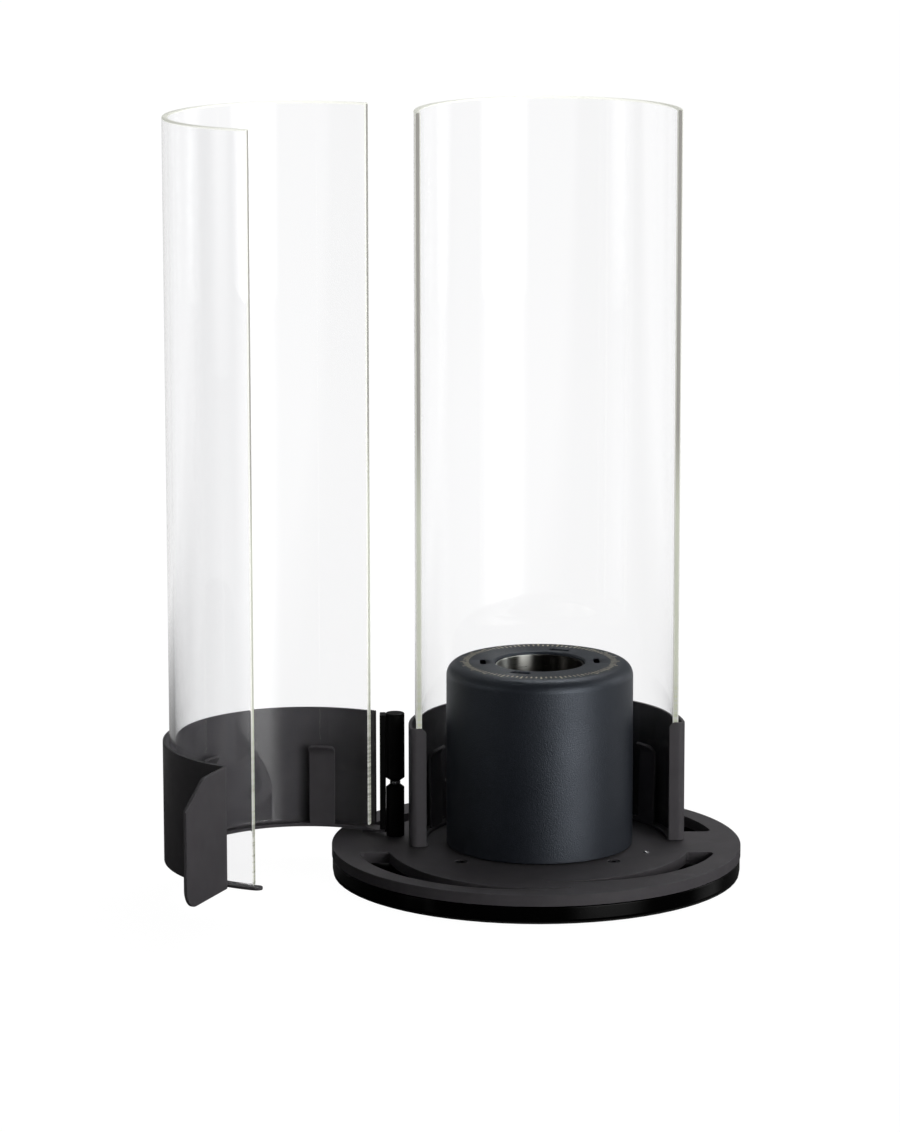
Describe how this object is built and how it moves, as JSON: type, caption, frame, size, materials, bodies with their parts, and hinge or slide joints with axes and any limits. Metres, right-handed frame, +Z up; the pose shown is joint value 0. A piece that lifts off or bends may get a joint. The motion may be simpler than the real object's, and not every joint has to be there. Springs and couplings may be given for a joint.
{
  "type": "outdoor heater",
  "caption": "Table-top ethanol torch: slotted round steel base, lift-out burner can, and two half-round glasses, one fixed and one on a hinged holder with a grip.",
  "frame": {"origin": "middle of the base's underside, where the anti-slip pad rests on the table", "axes": "+Z up, -Y towards the front, +X to the right; the air slots start beside the X axis and the hinge is on the left"},
  "size_m": [0.2613, 0.2178, 0.3495],
  "materials": {
    "anthracite_coat": "matt anthracite powder coat with a very fine texture",
    "gloss_black": "gloss black enamel",
    "black_rubber": "matt black",
    "hinge_black": "satin black powder coat",
    "slate_coat": "fine-textured slate blue-grey powder coat",
    "stainless_steel": "drawn stainless steel, satin",
    "blackened_screw": "black oxide",
    "zinc_steel": "bright zinc",
    "clear_glass": "clear borosilicate, faint green at the cut edges",
    "ceramic_wool": "matted white fibre"
  },
  "bodies": {
    "base": {"anti_slip_pad": "black_rubber", "base_pan": "gloss_black", "base_plate": "anthracite_coat", "plate_screw_1": "blackened_screw", "plate_screw_2": "blackened_screw", "plate_screw_3": "blackened_screw", "plate_screw_4": "blackened_screw", "door_stud": "zinc_steel", "fixed_bracket": "anthracite_coat", "hinge_post": "hinge_black", "hinge_pin": "zinc_steel", "hinge_washer": "zinc_steel"},
    "door": {"door_bracket": "anthracite_coat", "hinge_knuckle": "hinge_black"},
    "door_pane": {"door_glass": "clear_glass"},
    "fixed_pane": {"fixed_glass": "clear_glass"},
    "burner_can": {"can_shell": "slate_coat", "can_base": "slate_coat", "burner_cup": "stainless_steel", "ceramic_wool": "ceramic_wool"}
  },
  "joints": [
    {"name": "door_hinge", "type": "hinge", "parent": "base", "child": "door", "pos_m": [-0.0644, 0.012, 0.055], "axis": [0, 0, 1], "range_deg": [-45, 120]},
    {"name": "door_glass_lift", "type": "slide", "parent": "door", "child": "door_pane", "axis": [0, 0, 1], "range_m": [0, 0.058]},
    {"name": "fixed_glass_lift", "type": "slide", "parent": "base", "child": "fixed_pane", "axis": [0, 0, 1], "range_m": [0, 0.058]},
    {"name": "can_lift", "type": "slide", "parent": "base", "child": "burner_can", "axis": [0, 0, 1], "range_m": [0, 0.34]}
  ]
}
